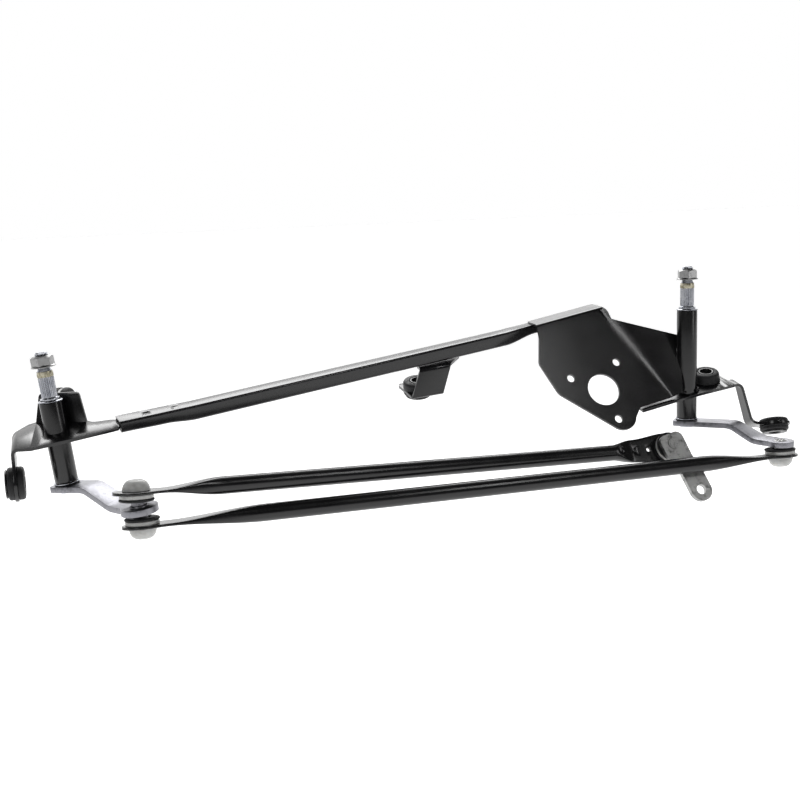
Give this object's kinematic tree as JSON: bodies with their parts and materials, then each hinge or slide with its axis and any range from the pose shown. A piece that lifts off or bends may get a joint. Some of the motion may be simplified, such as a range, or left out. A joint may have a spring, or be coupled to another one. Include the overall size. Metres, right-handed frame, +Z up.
{
  "type": "windshield wiper linkage",
  "caption": "Windshield wiper transmission: bracketed frame tube with two wiper pivots, cranks joined by ball-jointed link rods, and a loose motor crank.",
  "frame": {"origin": "centre of the middle cowl mount, in the plane of its foot", "axes": "+X from the left wiper pivot to the right one, +Y to the back, +Z up along the right wiper shaft"},
  "size_m": [0.6745, 0.1477, 0.1905],
  "materials": {
    "black_paint": "semi-gloss black",
    "zinc": "zinc plated",
    "steel": "bright",
    "bronze": "sintered",
    "rubber": "matte",
    "nylon": "natural white"
  },
  "bodies": {
    "frame": {"centre_bracket": "black_paint", "centre_grommet": "rubber", "centre_sleeve": "zinc", "frame_tube": "black_paint", "left_bracket": "black_paint", "left_dust_cap": "steel", "left_housing": "black_paint", "left_lower_bush": "bronze", "left_lower_grommet": "rubber", "left_lower_sleeve": "zinc", "left_rear_grommet": "rubber", "left_rear_sleeve": "zinc", "left_upper_bush": "bronze", "motor_bracket": "black_paint", "right_bracket": "black_paint", "right_dust_cap": "steel", "right_housing": "black_paint", "right_lower_bush": "bronze", "right_lower_grommet": "rubber", "right_lower_sleeve": "zinc", "right_upper_bush": "bronze", "right_upper_grommet": "rubber", "right_upper_sleeve": "zinc"},
    "left_crank": {"left_shaft": "steel", "left_circlip": "steel", "left_shaft_seal": "rubber", "left_thrust_washer": "zinc", "left_wiper_nut": "zinc", "left_crank_arm": "zinc", "left_ball_stud": "zinc"},
    "right_crank": {"right_shaft": "steel", "right_circlip": "steel", "right_shaft_seal": "rubber", "right_thrust_washer": "zinc", "right_wiper_nut": "zinc", "right_crank_arm": "zinc", "right_ball_stud": "zinc"},
    "long_link": {"long_link_rod": "black_paint", "long_left_socket": "nylon", "long_left_boot": "rubber", "long_right_socket": "nylon", "long_right_boot": "rubber"},
    "short_link": {"short_link_rod": "black_paint", "short_left_socket": "nylon", "short_left_boot": "rubber", "short_right_socket": "nylon", "short_right_boot": "rubber"},
    "motor_crank": {"motor_crank_arm": "zinc", "motor_ball_stud": "zinc"}
  },
  "joints": [
    {"name": "left_pivot", "type": "hinge", "parent": "frame", "child": "left_crank", "pos_m": [-0.295, -0.041, -0.0456], "axis": [-0.1011, 0, 0.9949], "range_deg": [-62, 2]},
    {"name": "right_pivot", "type": "hinge", "parent": "frame", "child": "right_crank", "pos_m": [0.237, -0.041, -0.0436], "axis": [0, 0, 1], "range_deg": [-62, 2]},
    {"name": "long_link_turn", "type": "hinge", "parent": "left_crank", "child": "long_link", "pos_m": [-0.24412, -0.11063, -0.06405], "axis": [-0.0918, -0.0133, 0.9957], "range_deg": [-2, 62]},
    {"name": "short_link_turn", "type": "hinge", "parent": "left_crank", "child": "short_link", "pos_m": [-0.24669, -0.11063, -0.03878], "axis": [-0.0918, -0.0133, 0.9957], "range_deg": [-2, 62]},
    {"name": "motor_crank_turn", "type": "hinge", "parent": "short_link", "child": "motor_crank", "pos_m": [0.19787, -0.07671, -0.05691], "axis": [-0.006, -0.8601, 0.5101], "range_deg": [-270, 10]}
  ],
  "couplings": [
    {"joint": "right_pivot", "follows": "left_pivot", "ratio": 0.996},
    {"joint": "long_link_turn", "follows": "left_pivot", "ratio": -1},
    {"joint": "short_link_turn", "follows": "left_pivot", "ratio": -1}
  ]
}
